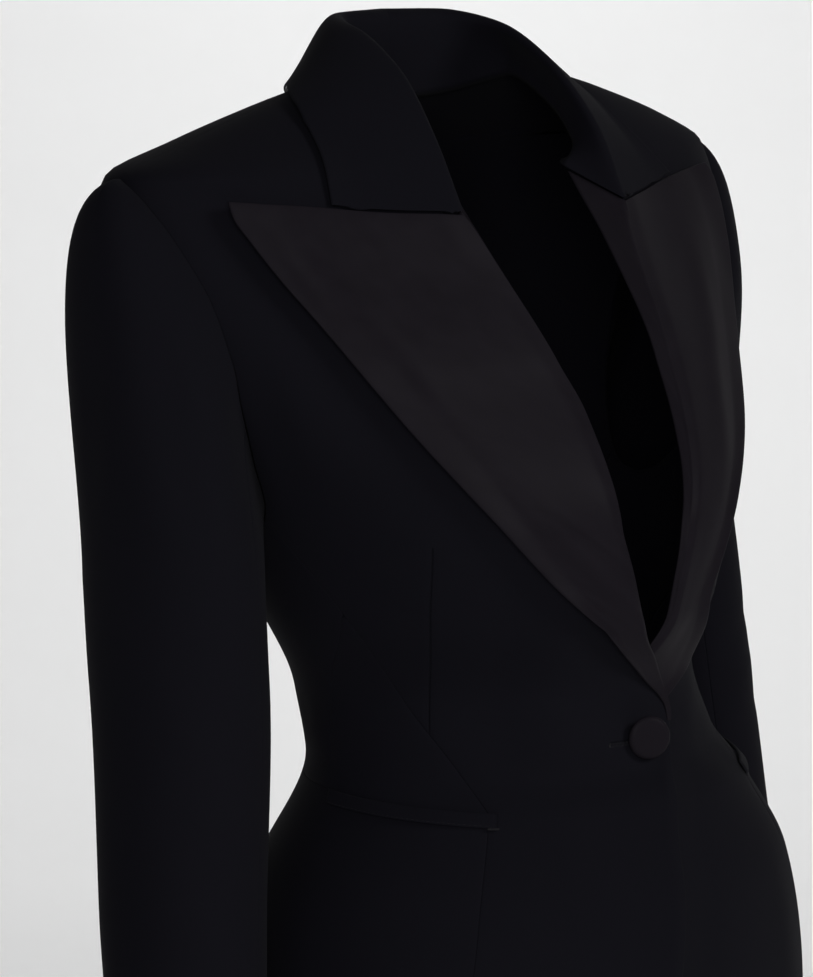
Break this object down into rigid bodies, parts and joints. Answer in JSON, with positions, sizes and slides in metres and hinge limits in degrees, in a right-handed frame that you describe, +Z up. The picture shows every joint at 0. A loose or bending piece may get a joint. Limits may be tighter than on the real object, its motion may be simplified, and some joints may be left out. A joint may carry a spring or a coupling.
{
  "type": "single breasted blazer",
  "caption": "Fitted single-breasted tuxedo blazer in its worn shape, with wide satin peak lapels, a covered button, welt pockets and straight two-piece sleeves.",
  "frame": {"origin": "midway between the two points where the shoulder seams meet the neck, where the blazer rests on the shoulders", "axes": "+Z up, -Y the way the wearer faces, +X to the wearer's left"},
  "size_m": [0.6085, 0.3268, 0.6955],
  "materials": {
    "black_wool": "matte fine black wool crepe",
    "black_satin": "smooth black satin with a soft sheen"
  },
  "bodies": {
    "root": {"front_right": "black_wool", "front_left": "black_wool", "side_front_right": "black_wool", "side_front_left": "black_wool", "side_right": "black_wool", "side_left": "black_wool", "back_right": "black_wool", "back_left": "black_wool", "hip_right": "black_wool", "hip_left": "black_wool", "pocket_welt_right": "black_wool", "pocket_welt_left": "black_wool", "sleeve_top_right": "black_wool", "sleeve_top_left": "black_wool", "sleeve_under_right": "black_wool", "sleeve_under_left": "black_wool", "collar": "black_wool", "lapel_right": "black_satin", "lapel_left": "black_satin", "button": "black_satin"}
  },
  "joints": []
}
